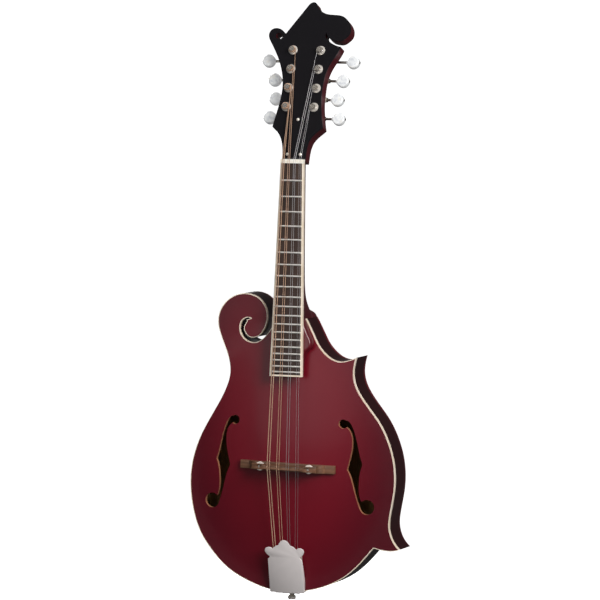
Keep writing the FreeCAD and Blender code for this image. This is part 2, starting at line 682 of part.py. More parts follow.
def tuner_plate(side):
    """Four-on-a-plate base with a pair of bearing lugs for each worm shaft."""
    low = POST_FIRST - 24.0
    high = POST_FIRST + 3 * POST_PITCH + 9.5
    inner_x = POST_X - 7.6
    outer_x = POST_X + 7.4
    sheet = box(inner_x, outer_x, HEAD_THICK, HEAD_THICK + PLATE_THICK, low, high)
    ends = [edge for edge in sheet.Edges if abs(edge.Length - PLATE_THICK) < 1e-6]
    plate = sheet.makeFillet(3.0, ends)
    axis_y = HEAD_THICK + PLATE_THICK + GEAR_OFF
    lugs = []
    holes = []
    for i in range(4):
        post_z = POST_FIRST + POST_PITCH * i
        worm_z = post_z - CENTRES
        for lug_x in (POST_X - LUG_GAP - LUG_THICK, POST_X + LUG_GAP):
            lug = box(lug_x, lug_x + LUG_THICK, HEAD_THICK + PLATE_THICK / 2, axis_y,
                      worm_z - 3.0, worm_z + 3.0)
            eye = rod(3.0, Vec(lug_x, axis_y, worm_z), X_AXIS, LUG_THICK)
            lugs.append(lug.fuse(eye))
        holes.append(rod(SHAFT_R + RUN_FIT, Vec(0, axis_y, worm_z), X_AXIS, 60))
        holes.append(rod(POST_R + RUN_FIT, Vec(POST_X, 0, post_z), Y_AXIS, 60))
    holes += [rod(1.1, Vec(plate_screw_x(), 0, z), Y_AXIS, 60) for z in plate_screws()]
    body = fuse([plate] + lugs)
    body = body.cut(holes)
    if side < 0:
        body = body.mirror(Vec(0, 0, 0), X_AXIS)
    return largest(placed(one(body), head_place()))


def worm_pitch():
    """Axial pitch of the single-start worm."""
    return 2 * math.pi * GEAR_R / GEAR_TEETH


def worm_thread():
    """Helical thread about the Z axis, centred on the origin."""
    pitch = worm_pitch()
    turns = 3.0
    root = WORM_R - TOOTH - 0.15
    tip = WORM_R + TOOTH - 0.05
    helix = Part.makeHelix(pitch, pitch * turns, WORM_R)
    profile = Part.Wire([Part.makeLine(Vec(root, 0, -0.62), Vec(tip, 0, -0.18)),
                         Part.makeLine(Vec(tip, 0, -0.18), Vec(tip, 0, 0.18)),
                         Part.makeLine(Vec(tip, 0, 0.18), Vec(root, 0, 0.62)),
                         Part.makeLine(Vec(root, 0, 0.62), Vec(root, 0, -0.62))])
    thread = Part.Wire(helix.Edges).makePipeShell([profile], True, True)
    thread.translate(Vec(0, 0, -pitch * turns / 2))
    return thread


def worm_blank(reach):
    """Worm shaft along Z: thread at the origin, button end at +Z."""
    core = rod(WORM_R - TOOTH, Vec(0, 0, -LUG_GAP + 0.3), Z_AXIS, 2 * LUG_GAP - 0.6)
    tail_end = LUG_GAP + LUG_THICK + 1.2
    shaft = rod(SHAFT_R, Vec(0, 0, -tail_end), Z_AXIS, tail_end + reach + BUTTON_R + 0.5)
    cap = rod(2.1, Vec(0, 0, -tail_end), Z_AXIS, 0.9)
    collar = rod(2.6, Vec(0, 0, LUG_GAP + LUG_THICK + 0.3), Z_AXIS, 1.4)
    return fuse([core, shaft, cap, collar])


def tuner_axis(side, along):
    """Frame of a worm: Z points out to the button, at the worm's centre."""
    across = FreeCAD.Rotation(Z_AXIS, Vec(side, 0, 0))
    if side < 0:
        across = across.multiply(FreeCAD.Rotation(Z_AXIS, 180))
    local = FreeCAD.Placement(Vec(side * POST_X, HEAD_THICK + PLATE_THICK + GEAR_OFF,
                                  along - CENTRES), across)
    return head_place().multiply(local)


def worm_shaft(side, along, reach, thread):
    """A worm shaft in place."""
    blank = worm_blank(reach).fuse(thread)
    return placed(largest(blank), tuner_axis(side, along))


def button(side, along, reach):
    """A pearl button: a thick rounded disc on the end of its shaft."""
    disc = rod(BUTTON_R, Vec(0, -BUTTON_THICK / 2, reach), Y_AXIS, BUTTON_THICK)
    disc = disc.makeFillet(BUTTON_THICK * 0.42, disc.Edges[0:1] + disc.Edges[2:3])
    neck_stub = rod(2.4, Vec(0, 0, reach - BUTTON_R - 0.9), Z_AXIS, 3.3)
    body = disc.fuse(neck_stub).cut(rod(SHAFT_R, Vec(0, 0, -60), Z_AXIS, 200))
    return placed(one(body), tuner_axis(side, along))


def string_post(side, along):
    """A string post with its gear wheel, from the head of the post to the gear's screw."""
    gear_y = HEAD_THICK + PLATE_THICK + GEAR_OFF
    post = rod(POST_R, Vec(0, -POST_PROUD, 0), Y_AXIS, POST_PROUD + gear_y)
    waist = Part.makeTorus(POST_R + 0.7, 1.3, Vec(0, -POST_PROUD + 2.6, 0), Y_AXIS)
    hole = rod(0.8, Vec(0, -POST_PROUD + 2.6, -9), Z_AXIS, 18)
    gear = gear_wheel()
    gear.translate(Vec(0, gear_y, 0))
    cap = rod(2.6, Vec(0, gear_y + GEAR_THICK / 2, 0), Y_AXIS, 1.3)
    slot = box(-3, 3, gear_y + GEAR_THICK / 2 + 0.7, gear_y + GEAR_THICK / 2 + 3, -0.3, 0.3)
    body = fuse([post.cut(waist).cut(hole), gear, cap]).cut(slot)
    body = one(body)
    body.translate(Vec(side * POST_X, 0, along))
    return placed(body, head_place())


def gear_wheel():
    """Gear about the Y axis, centred on the origin, with one gap facing the worm at -Z."""
    tip = GEAR_R + TOOTH - 0.05
    root = GEAR_R - TOOTH - 0.15
    blank = rod(tip, Vec(0, -GEAR_THICK / 2, 0), Y_AXIS, GEAR_THICK)
    lead = math.degrees(math.atan(worm_pitch() / (2 * math.pi * WORM_R)))
    cutters = []
    for i in range(GEAR_TEETH):
        wire = closed([(-0.62, -root), (-0.62 - 0.42, -tip - 1.2), (0.62 + 0.42, -tip - 1.2),
                       (0.62, -root)])
        cutter = prism(wire, -GEAR_THICK, GEAR_THICK)
        cutter.rotate(Vec(0, 0, 0), Z_AXIS, lead)
        cutter.rotate(Vec(0, 0, 0), Y_AXIS, 360.0 * i / GEAR_TEETH)
        cutters.append(cutter)
    return one(blank.cut(cutters))


# ---- bridge -------------------------------------------------------------------------------
def saddle_top_y():
    """Depth of the strings' resting line at the bridge, in the body's frame."""
    return board_place().multVec(Vec(0, -4.2, -SCALE)).y


def bridge_base():
    """Bridge base, its feet fitted to the top's carved face."""
    half = BRIDGE_LENGTH / 2
    crown = saddle_top_y() + 11.4
    profile = Part.Wire([Part.makeLine(xz(-half, -16), xz(-half, -27.5)),
                         Part.makeLine(xz(-half, -27.5), xz(-46, -27.9)),
                         spline([(-46, -27.9), (-41, crown + 1.2), (-36, crown)]),
                         Part.makeLine(xz(-36, crown), xz(36, crown)),
                         spline([(36, crown), (41, crown + 1.2), (46, -27.9)]),
                         Part.makeLine(xz(46, -27.9), xz(half, -27.5)),
                         Part.makeLine(xz(half, -27.5), xz(half, -16)),
                         Part.makeLine(xz(half, -16), xz(-half, -16))])
    profile.rotate(Vec(0, 0, 0), X_AXIS, -90)
    face = Part.Face(profile)
    blank = face.extrude(Vec(0, 0, BRIDGE_BASE_WIDTH))
    blank.translate(Vec(0, 0, -BRIDGE_BASE_WIDTH / 2))
    if blank.BoundBox.YMax > 0:
        blank = blank.mirror(Vec(0, 0, 0), Y_AXIS)
    relief = box(-19, 19, -24.6, 0, -FAR, FAR)
    blank = placed(blank.cut(relief).cut(stud_bores(STUD_R, -FAR, FAR)), bridge_place())
    front_air = arched_face(FRONT_Y, ARCH_TOP, -1).extrude(Vec(0, -60, 0))
    return one(blank.common(front_air))


def stud_bores(radius, y0, y1):
    """Both stud axes as round cutters, in the bridge's frame."""
    return [rod(radius, Vec(side * STUD_X, y0, 0), Y_AXIS, y1 - y0) for side in (-1, 1)]


def bridge_studs():
    """Two threaded studs fixed in the base."""
    low = saddle_top_y() + 4.2
    studs = [rod(STUD_R, Vec(side * STUD_X, low, 0), Y_AXIS, 11.4) for side in (-1, 1)]
    return Part.makeCompound([placed(s, bridge_place()) for s in studs])


def thumbwheel(side):
    """Knurled height wheel, running on its stud under the saddle."""
    y = saddle_top_y() + 8.0 - WHEEL_THICK / 2
    wheel = rod(WHEEL_R, Vec(0, -WHEEL_THICK / 2, 0), Y_AXIS, WHEEL_THICK)
    wheel = wheel.makeFillet(0.4, [wheel.Edges[0], wheel.Edges[2]])
    notches = []
    for i in range(20):
        angle = 2 * math.pi * i / 20
        at = Vec(WHEEL_R * 1.03 * math.cos(angle), -WHEEL_THICK, WHEEL_R * 1.03 * math.sin(angle))
        notches.append(rod(0.45, at, Y_AXIS, 2 * WHEEL_THICK))
    wheel = wheel.cut(notches).cut(rod(STUD_R + RUN_FIT, Vec(0, -9, 0), Y_AXIS, 18))
    wheel = one(wheel)
    wheel.translate(Vec(side * STUD_X, y + WHEEL_THICK / 2 + 0.05, 0))
    return placed(wheel, bridge_place())


def bridge_saddle():
    """Saddle that carries the strings, standing on the two thumbwheels."""
    top = saddle_top_y()
    foot = top + 8.0 - WHEEL_THICK / 2
    half = SADDLE_LENGTH / 2
    outline_points = [(-half, foot), (-half, foot - 2.6), (-24, top), (24, top),
                      (half, foot - 2.6), (half, foot)]
    face = Part.Face(Part.Wire([Part.makeLine(Vec(a[0], a[1], 0), Vec(b[0], b[1], 0))
                                for a, b in zip(outline_points,
                                                outline_points[1:] + outline_points[:1])]))
    body = face.extrude(Vec(0, 0, SADDLE_WIDTH))
    body.translate(Vec(0, 0, -SADDLE_WIDTH / 2))
    crest = section_prism([(top - 3, -1.2), (top - 3, 1.2), (top + 4, 3.4), (top + 4, -3.4)],
                          -24.5, 24.5)
    slope = box(-24.5, 24.5, top - 3, top + 4.0, -20, 20).cut(crest)
    body = body.cut(slope).cut(stud_bores(STUD_R + 0.15, foot - 5.2, foot + 20))
    saddle = placed(body, bridge_place())
    return largest(saddle.cut([string_groove(index) for index in range(8)]))


def string_groove(index):
    """Cutter for a string's shallow groove over the saddle."""
    radius = STRING_D[index] / 2 + 0.06
    tail, top, nut_end = string_points(index)[:3]
    runs = [rod(radius, top, (end - top).normalize(), 12) for end in (tail, nut_end)]
    return Part.makeSphere(radius, top).multiFuse(runs)


# ---- tailpiece ----------------------------------------------------------------------------
def cover_place():
    """Frame of the tailpiece cover's face: Z up along it, Y into the body."""
    return FreeCAD.Placement(Vec(0, -18.7, 7.2), FreeCAD.Rotation(X_AXIS, COVER_TILT))


def cover_face_outline():
    """Front outline of the tailpiece cover, with its scalloped crown and two ears."""
    crown = [(0, 64.9), (3.1, 64), (5.6, 61.4), (7.1, 58.4)]
    shoulder = [(7.1, 58.4), (10.6, 57.2), (13.2, 55.2), (14.6, 53.8)]
    ear = [(14.6, 53.8), (17.2, 55.6), (20.6, 55.5), (23.3, 53.8), (23.9, 51.4), (22.6, 48.2),
           (18.6, 44.7)]
    right = [spline(crown, (1, 0), (0.3, -1)), spline(shoulder), spline(ear)]
    right += polyline([(18.6, 44.7), (18.4, 43.4), (COVER_HALF, 41.2), (COVER_HALF, 0)])
    left = [edge.mirror(Vec(0, 0, 0), X_AXIS) for edge in right]
    base = Part.makeLine(xz(COVER_HALF, 0), xz(-COVER_HALF, 0))
    edges = Part.sortEdges(right + left + [base])[0]
    return Part.Wire(edges)


def tailpiece_cover():
    """Stamped cover with turned-down sides that slides over the tailpiece base."""
    face = prism(cover_face_outline(), 0, COVER_SHEET)
    corners = [Vec(0, y, z) for y, z in
               ((0, 0), (4.0, 0), (7.2, 14), (1.6, 40.5), (0, 40.5), (0, 0))]
    edges = [Part.makeLine(a, b) for a, b in zip(corners, corners[1:])]
    flange = Part.Face(Part.Wire(edges)).extrude(Vec(COVER_SHEET, 0, 0))
    treble = flange.translated(Vec(COVER_HALF - COVER_SHEET, 0, 0))
    bass = flange.translated(Vec(-COVER_HALF, 0, 0))
    return placed(fuse([face, treble, bass]), cover_place())


def tailpiece_base():
    """Bent plate: a leg screwed to the tail and a flat bed with the string hooks."""
    half = 18.6
    leg = box(-half + 4, half - 4, FRONT_Y - 1.2, 11, TAIL_Z - TAIL_BASE_THICK, TAIL_Z)
    corner = box(-half + 4, half - 4, -17.0, -15.2, TAIL_Z - TAIL_BASE_THICK, TAIL_Z + 4)
    bed = Part.makeBox(2 * half, TAIL_BASE_THICK, 44, Vec(-half, 0, 0))
    hooks = []
    for x in pair_places(TAIL_SPAN - 4, 3.0):
        peg = Part.makeBox(1.6, 3.2, 1.2, Vec(x - 0.8, -3.2, 31))
        lip = Part.makeBox(1.6, 0.8, 3.2, Vec(x - 0.8, -3.2, 29))
        hooks += [peg, lip]
    upper = fuse([bed] + hooks)
    upper.rotate(Vec(0, 0, 0), X_AXIS, 7)
    upper.translate(Vec(0, -16.8, TAIL_Z + 0.6))
    body = fuse([leg, corner, upper])
    holes = [rod(1.3, Vec(x, y, 0), Z_AXIS, 30) for x, y in TAIL_SCREWS]
    holes.append(rod(2.6, Vec(0, 0, 0), Z_AXIS, 30))
    return largest(body.cut(holes))


TAIL_SCREWS = ((-10.0, -6.0), (10.0, -6.0), (0.0, 7.6))


def tailpiece_screws():
    """Three screws that hold the tailpiece's leg to the tail block."""
    screws = []
    for x, y in TAIL_SCREWS:
        item = screw(2.2, 1.3, 1.2, TAIL_BASE_THICK)
        item.rotate(Vec(0, 0, 0), X_AXIS, 90)
        item.translate(Vec(x, y, TAIL_Z - TAIL_BASE_THICK))
        screws.append(item)
    return Part.makeCompound(screws)


def strap_button():
    """Turned strap button with a stem into the tail block."""
    half = BUTTON_HEAD_LEN / 2
    seat = TAIL_Z - TAIL_BASE_THICK
    profile = [(0, -half), (BUTTON_HEAD_R - 0.7, -half), (BUTTON_HEAD_R, -half + 0.7),
               (BUTTON_HEAD_R, half - 0.7), (BUTTON_HEAD_R - 0.7, half), (2.9, half + 0.8),
               (2.9, seat - 1.6), (4.3, seat - 1.2), (4.3, seat), (2.6, seat), (2.6, TAIL_Z),
               (0, TAIL_Z)]
    return revolve_z(profile)


# ---- strings ------------------------------------------------------------------------------
def pair_places(span, gap):
    """Places across the strings' path for four close pairs."""
    step = (span - gap) / 3.0
    places = []
    for pair in range(4):
        middle = -span / 2 + gap / 2 + step * pair
        places += [middle - gap / 2, middle + gap / 2]
    return places


def string_points(index):
    """Corner points of a string from its hook over the bridge and nut to its post."""
    tail_x = pair_places(TAIL_SPAN - 4, 3.0)[index]
    nut_x = pair_places(NUT_SPAN, PAIR_GAP_NUT)[index]
    bridge_x = pair_places(BRIDGE_SPAN, PAIR_GAP_BRIDGE)[index]
    radius = STRING_D[index] / 2
    tail = Vec(tail_x, -24.4, 41.6)
    saddle = bridge_place().multVec(Vec(bridge_x, saddle_top_y() - 0.1, 0))
    nut_low = board_place().multVec(Vec(nut_x, string_nut_y(), 0))
    nut_high = board_place().multVec(Vec(nut_x, string_nut_y(), NUT_LENGTH))
    side = -1 if index < 4 else 1
    row = string_row(index)
    away = POST_R + radius + 0.25
    along = POST_FIRST + POST_PITCH * row
    post = head_place().multVec(Vec(side * (POST_X - away), -2.2, along))
    return [tail, saddle, nut_low, nut_high, post]


def string_row(index):
    """Row of the post that holds a string: the outer strings go to the lowest posts."""
    return index if index < 4 else 7 - index


def string_solid(index):
    """One string as straight runs, with three turns round its post."""
    radius = STRING_D[index] / 2
    points = string_points(index)
    pieces = [Part.makeSphere(radius, p) for p in points[1:-1]]
    for a, b in zip(points, points[1:]):
        pieces.append(rod(radius, a, b - a, (b - a).Length))
    side = -1 if index < 4 else 1
    along = POST_FIRST + POST_PITCH * string_row(index)
    coil_r = POST_R + radius + 0.25
    coils = []
    for turn in range(3):
        at = Vec(side * POST_X, -2.2 - turn * (2 * radius + 0.1), along)
        coils.append(Part.makeTorus(coil_r, radius, at, Y_AXIS))
    pieces += [placed(c, head_place()) for c in coils]
    link = rod(radius * 0.9, Vec(side * POST_X - side * coil_r, -2.2, along), Vec(0, -1, 0),
               2 * (2 * radius + 0.1))
    pieces.append(placed(link, head_place()))
    body = pieces[0].multiFuse(pieces[1:])
    return largest(body)


# ---- everything ---------------------------------------------------------------------------
def build():
    """Every node of the instrument, by name."""
    outer = outline()
    bound = inset(outer, BINDING)
    ribs_inner = inset(outer, RIB)
    lining_inner = inset(outer, RIB + 5.0)
    nodes = {}
    nodes["top_plate"] = top_plate(bound, lining_inner)
    nodes["top_binding"] = largest(prism(outer, FRONT_Y, FRONT_Y + PLATE).cut(
        prism(bound, FRONT_Y - 1, FRONT_Y + PLATE + 1)))
    nodes["back_plate"] = back_plate(outer, lining_inner)
    nodes["rib_bass"], nodes["rib_treble"] = ribs(outer, ribs_inner)
    neck_block, tail_block, upper_point, lower_point = inner_blocks(ribs_inner)
    nodes["neck_block"] = neck_block
    nodes["tail_block"] = tail_block
    nodes["point_blocks"] = Part.makeCompound([upper_point, lower_point])
    blocks = [neck_block, tail_block, upper_point, lower_point]
    front = FRONT_Y + PLATE
    rear = BACK_Y - PLATE
    nodes["top_lining"] = lining(ribs_inner, lining_inner, front, front + 7, blocks)
    nodes["back_lining"] = lining(ribs_inner, lining_inner, rear - 7, rear, blocks)
    nodes["tone_bars"] = Part.makeCompound(tone_bars())
    nodes["board_riser"] = board_riser()
    nodes["neck"] = neck()
    nodes["headstock_overlay"] = headstock_overlay()
    nodes["truss_rod"] = truss_rod()
    nodes["truss_rod_nut"] = truss_nut()
    nodes["truss_rod_cover"] = truss_rod_cover()
    nodes["headstock_screws"] = headstock_screws()
    nodes["nut"] = nut()
    nodes["fretboard"] = fretboard()
    nodes["fretboard_binding"] = fretboard_binding()
    nodes["frets"] = frets()
    nodes["tuner_bushings"] = tuner_bushings()
    nodes["tuner_plate_bass"] = tuner_plate(-1)
    nodes["tuner_plate_treble"] = tuner_plate(1)
    thread = worm_thread()
    for number, side, along, reach in post_places():
        nodes["button_%d" % number] = button(side, along, reach)
        nodes["worm_shaft_%d" % number] = worm_shaft(side, along, reach, thread)
        nodes["string_post_%d" % number] = string_post(side, along)
    nodes["bridge_base"] = bridge_base()
    nodes["bridge_studs"] = bridge_studs()
    nodes["thumbwheel_bass"] = thumbwheel(-1)
    nodes["thumbwheel_treble"] = thumbwheel(1)
    nodes["bridge_saddle"] = bridge_saddle()
    nodes["tailpiece_base"] = tailpiece_base()
    nodes["tailpiece_cover"] = tailpiece_cover()
    nodes["tailpiece_screws"] = tailpiece_screws()
    nodes["strap_button"] = strap_button()
    nodes["wound_strings"] = Part.makeCompound([string_solid(i) for i in range(4)])
    nodes["plain_strings"] = Part.makeCompound([string_solid(i) for i in range(4, 8)])
    return nodes


os.makedirs("parts", exist_ok=True)
for name, shape in build().items():
    shape.exportStep("parts/%s.step" % name)
    print(name, "solids", len(shape.Solids), "volume %.0f" % shape.Volume, shape.isValid())
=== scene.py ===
"""Looks of a carved mandolin: lacquer, edging, strings, knobs, bridge and tailpiece."""

import logging
import math
from dataclasses import dataclass, field
from enum import Enum
from typing import Callable, Sequence, Union

import bpy
from mathutils import Matrix, Vector


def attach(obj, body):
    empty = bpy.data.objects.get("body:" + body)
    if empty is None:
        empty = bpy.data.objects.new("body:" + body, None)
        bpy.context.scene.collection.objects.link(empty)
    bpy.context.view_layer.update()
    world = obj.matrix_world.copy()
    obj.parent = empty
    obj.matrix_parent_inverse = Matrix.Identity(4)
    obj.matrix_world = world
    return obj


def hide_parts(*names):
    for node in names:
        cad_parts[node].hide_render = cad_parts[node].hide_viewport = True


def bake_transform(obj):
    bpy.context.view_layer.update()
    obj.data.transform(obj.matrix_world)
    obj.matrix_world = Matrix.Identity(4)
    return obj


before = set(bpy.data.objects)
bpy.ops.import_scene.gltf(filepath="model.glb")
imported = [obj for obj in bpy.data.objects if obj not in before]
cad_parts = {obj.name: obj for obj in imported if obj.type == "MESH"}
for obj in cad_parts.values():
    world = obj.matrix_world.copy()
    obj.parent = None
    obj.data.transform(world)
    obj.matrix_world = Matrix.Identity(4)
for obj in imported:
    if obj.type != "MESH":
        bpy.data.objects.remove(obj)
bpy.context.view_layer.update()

log = logging.getLogger("mandolin")
Colour = tuple[float, float, float]
Value = Union[float, "Term"]


def paint(code: str) -> Colour:
    """A linear colour from a six-figure screen code."""
    shares = [int(code[i:i + 2], 16) / 255 for i in (0, 2, 4)]
    red, green, blue = [s / 12.92 if s <= 0.04045 else ((s + 0.055) / 1.055) ** 2.4 for s in shares]
    return red, green, blue


# ------------------------------------------------------------------------------------------
# Shader building
# ------------------------------------------------------------------------------------------
class Term:
    """A socket in a shader expression; arithmetic on it adds Math nodes."""

    def __init__(self, graph: "Graph", socket: bpy.types.NodeSocket) -> None:
        """Wraps an output socket of a graph."""
        self.graph = graph
        self.socket = socket

    def __add__(self, other: Value) -> "Term":
        """The sum."""
        return self.graph.maths("ADD", self, other)

    def __sub__(self, other: Value) -> "Term":
        """The difference."""
        return self.graph.maths("SUBTRACT", self, other)

    def __rsub__(self, other: Value) -> "Term":
        """The difference, taken from a number."""
        return self.graph.maths("SUBTRACT", other, self)

    def __mul__(self, other: Value) -> "Term":
        """The product."""
        return self.graph.maths("MULTIPLY", self, other)

    def __truediv__(self, other: Value) -> "Term":
        """The quotient."""
        return self.graph.maths("DIVIDE", self, other)

    __radd__ = __add__
    __rmul__ = __mul__


class Graph:
    """The node graph of one material."""

    def __init__(self, name: str) -> None:
        """Starts a material with nothing but its output."""
        self.material = bpy.data.materials.new(name)
        self.material.use_nodes = True
        self.tree = self.material.node_tree
        self.tree.nodes.clear()

    def node(self, kind: str, settings: dict | None = None,
             sockets: dict | None = None) -> bpy.types.Node:
        """Adds a node.

        Args:
            kind: the node's type.
            settings: properties, which are set first.
            sockets: values or Terms for its inputs, by name or number.

        Returns:
            The new node.
        """
        made = self.tree.nodes.new(kind)
        for key, value in (settings or {}).items():
            setattr(made, key, value)
        for key, value in (sockets or {}).items():
            self._feed(made.inputs[key], value)
        return made

    def _feed(self, socket: bpy.types.NodeSocket, value: object) -> None:
        """Links a Term to an input, or sets the input's own value."""
        if isinstance(value, Term):
            self.tree.links.new(value.socket, socket)
        elif isinstance(value, tuple) and len(value) == 3 and socket.type == "RGBA":
            socket.default_value = (*value, 1.0)
        else:
            socket.default_value = value

    def out(self, made: bpy.types.Node, name: Union[str, int] = 0) -> Term:
        """An output of a node as a Term."""
        return Term(self, made.outputs[name])

    def maths(self, operation: str, left: Value, right: Value = 0.0, clamp: bool = False) -> Term:
        """A Math node on two values."""
        return self.out(self.node("ShaderNodeMath", {"operation": operation, "use_clamp": clamp},
                                  {0: left, 1: right}))

    def clamp(self, value: Term) -> Term:
        """The value kept between 0 and 1."""
        return self.maths("ADD", value, 0.0, True)

    def mix(self, share: Value, low: Union[Colour, Term], high: Union[Colour, Term]) -> Term:
        """A colour between two colours."""
        made = self.node("ShaderNodeMix", {"data_type": "RGBA"}, {0: share, 6: low, 7: high})
        return self.out(made, 2)

    def place(self, scale: Sequence[float] = (1, 1, 1), turn: Sequence[float] = (0, 0, 0),
              shift: Sequence[float] = (0, 0, 0)) -> Term:
        """Object coordinates after a shift, a turn and a stretch."""
        coords = self.out(self.node("ShaderNodeTexCoord"), "Object")
        return self.out(self.node("ShaderNodeMapping", {}, {"Vector": coords, "Location": tuple(shift),
                                                           "Rotation": tuple(turn),
                                                           "Scale": tuple(scale)}))

    def axes(self, vector: Term) -> tuple[Term, Term, Term]:
        """The three numbers of a vector."""
        made = self.node("ShaderNodeSeparateXYZ", {}, {0: vector})
        return self.out(made, 0), self.out(made, 1), self.out(made, 2)

    def noise(self, vector: Term, scale: float, detail: float = 4.0, rough: float = 0.5,
              twist: float = 0.0) -> Term:
        """Smooth noise between 0 and 1."""
        return self.out(self.node("ShaderNodeTexNoise", {}, {
            "Vector": vector, "Scale": scale, "Detail": detail, "Roughness": rough,
            "Distortion": twist}), 0)

    def span(self, value: Term, low: float, high: float) -> Term:
        """How far a value has gone from low to high, between 0 and 1, eased at both ends."""
        made = self.node("ShaderNodeMapRange", {"interpolation_type": "SMOOTHSTEP"},
                         {0: value, 1: low, 2: high, 3: 0.0, 4: 1.0})
        return self.out(made, 0)

    def bump(self, height: Term, strength: float, distance: float) -> Term:
        """A surface normal disturbed by a height."""
        return self.out(self.node("ShaderNodeBump", {}, {
            "Height": height, "Strength": strength, "Distance": distance}))

    def surface(self, **sockets: object) -> bpy.types.Material:
        """Finishes the material with a Principled surface.

        Args:
            sockets: inputs of the shader, with underscores for spaces.

        Returns:
            The finished material.
        """
        shader = self.node("ShaderNodeBsdfPrincipled", {},
                           {key.replace("_", " "): value for key, value in sockets.items()})
        self.node("ShaderNodeOutputMaterial", {}, {0: self.out(shader)})
        return self.material


# ------------------------------------------------------------------------------------------
# Finishes
# ------------------------------------------------------------------------------------------
@dataclass(frozen=True)
class Lacquer:
    """Transparent wine-red lacquer over figured wood, with painted shade darkening it towards the rim."""

    name: str
    middle: Colour
    rim: Colour
    grain: float = 0.10
    rough: float = 0.34
    coat: float = 0.12
    gleam: float = 0.3
    bare_towards: float = 0.0
    bare: Colour = paint("8a6236")
    wall: Colour = paint("d0a870")
    # Whether the rim gets painted shade.
    shaded_rim: bool = True

    def material(self) -> bpy.types.Material:
        """The finished material."""
        g = Graph(self.name)
        x, _, z = g.axes(g.place())
        across = x / 0.128
        up = (z - 0.195) / 0.235
        far = g.maths("SQRT", across * across + up * up)
        # Painted shade: the colour darkens from middle to rim with distance from the centre; otherwise the
        # two colours vary at random.
        share = g.span(far, 0.40, 1.00) if self.shaded_rim else g.noise(g.place(), 7.0, 2.0)
        fibres = g.noise(g.place((260, 260, 5)), 1.0, 6.0, 0.6, 0.4)
        clouds = g.noise(g.place(shift=(0.3, 0.1, 0.2)), 9.0, 3.0, 0.5)
        flame = g.noise(g.place((14, 14, 110)), 1.0, 2.0, 0.5, 0.6)
        tint = g.mix(share, self.middle, self.rim)
        dark = tuple(c * 0.72 for c in self.middle)
        tint = g.mix((fibres - 0.35) * self.grain * 2.4, tint, dark)
        tint = g.mix((clouds - 0.30) * 0.25, tint, self.rim)
        tint = g.mix((flame - 0.45) * self.grain, tint, tuple(min(1.0, c * 1.5) for c in self.middle))
        rough = self.rough + (clouds - 0.5) * 0.06
        coat: Value = self.coat
        if self.bare_towards:
            _, ny, _ = g.axes(g.out(g.node("ShaderNodeNewGeometry"), "Normal"))
            inward = g.span(ny * self.bare_towards, 0.35, 0.55)
            wall = g.span(g.maths("ABSOLUTE", ny), 0.62, 0.30) * self.near_holes(g, x, z)
            wood = g.mix(fibres, self.bare, tuple(c * 0.6 for c in self.bare))
            edge = g.mix(fibres * 0.5, self.wall, tuple(c * 0.6 for c in self.wall))
            tint = g.mix(inward, tint, wood)
            tint = g.mix(wall, tint, edge)
            raw = g.maths("MAXIMUM", inward, wall)
            rough = rough + raw * 0.35
            coat = (1.0 - raw) * self.coat
        skin = g.noise(g.place(), 420.0, 2.0)
        return g.surface(Base_Color=tint, Roughness=rough, Coat_Weight=coat, Coat_Roughness=0.12,
                         Specular_IOR_Level=self.gleam,
                         Normal=g.bump(skin + fibres * 0.6, 0.05, 0.0004))

    @staticmethod
    def near_holes(g: Graph, x: Term, z: Term) -> Term:
        """Where the sound holes are, so that a plate's outer edge keeps its lacquer.

        Args:
            g: the material's graph.
            x: place across the instrument.
            z: place along it.

        Returns:
            1 round the sound holes and 0 elsewhere.
        """
        inside = g.span(g.maths("ABSOLUTE", x), 0.1050, 0.1042)
        return inside * g.span(z, 0.2135, 0.2127) * g.span(z, 0.0950, 0.0960)


@dataclass(frozen=True)
class Timber:
    """Open-grained wood with long dark streaks."""

    name: str
    light: Colour
    dark: Colour
    rough: float = 0.5
    stretch: tuple[float, float, float] = (150, 150, 9)
    pores: float = 0.5

    def material(self) -> bpy.types.Material:
        """The finished material."""
        g = Graph(self.name)
        streaks = g.noise(g.place(self.stretch), 1.0, 8.0, 0.62, 0.8)
        bands = g.noise(g.place(tuple(s * 0.22 for s in self.stretch)), 1.0, 3.0, 0.5, 1.2)
        fine = g.noise(g.place(tuple(s * 4 for s in self.stretch)), 1.0, 3.0, 0.7)
        share = g.clamp((streaks - 0.32) * 1.9 + (bands - 0.5) * 0.7)
        tint = g.mix(share, self.dark, self.light)
        pits = g.span(fine, 0.60, 0.70)
        tint = g.mix(pits * self.pores, tint, tuple(c * 0.35 for c in self.dark))
        rough = self.rough + (streaks - 0.5) * 0.25
        return g.surface(Base_Color=tint, Roughness=rough,
                         Normal=g.bump(streaks - pits * 0.6, 0.25, 0.0003))


@dataclass(frozen=True)
class Metal:
    """Plated or plain metal with faint wear, and painted shade in the grooves of wound strings."""

    name: str
    tint: Colour
    rough: float
    brushed: tuple[float, float, float] = (900, 900, 900)
    wear: float = 0.10
    ridges: float = 0.0
    share: float = 1.0

    def material(self) -> bpy.types.Material:
        """The finished material."""
        g = Graph(self.name)
        lines = g.noise(g.place(self.brushed), 1.0, 3.0, 0.6)
        smears = g.noise(g.place(shift=(0.1, 0.4, 0.2)), 60.0, 4.0, 0.6, 0.5)
        tint = g.mix((smears - 0.35) * 0.5, self.tint, tuple(c * 0.78 for c in self.tint))
        rough = self.rough + (smears - 0.5) * self.wear + (lines - 0.5) * self.wear
        height = lines * 0.4 + smears * 0.3
        if self.ridges:
            wave = g.node("ShaderNodeTexWave", {"bands_direction": "Z"},
                          {"Vector": g.place(), "Scale": self.ridges, "Distortion": 0.0})
            height = height * 0.2 + g.out(wave, 1)
            # Painted shade: the grooves between the windings are darkened towards half brightness.
            tint = g.mix(g.out(wave, 1), tuple(c * 0.5 for c in self.tint), tint)
        return g.surface(Base_Color=tint, Metallic=self.share, Roughness=rough,
                         Normal=g.bump(height, 0.12 if not self.ridges else 0.8, 0.0002))


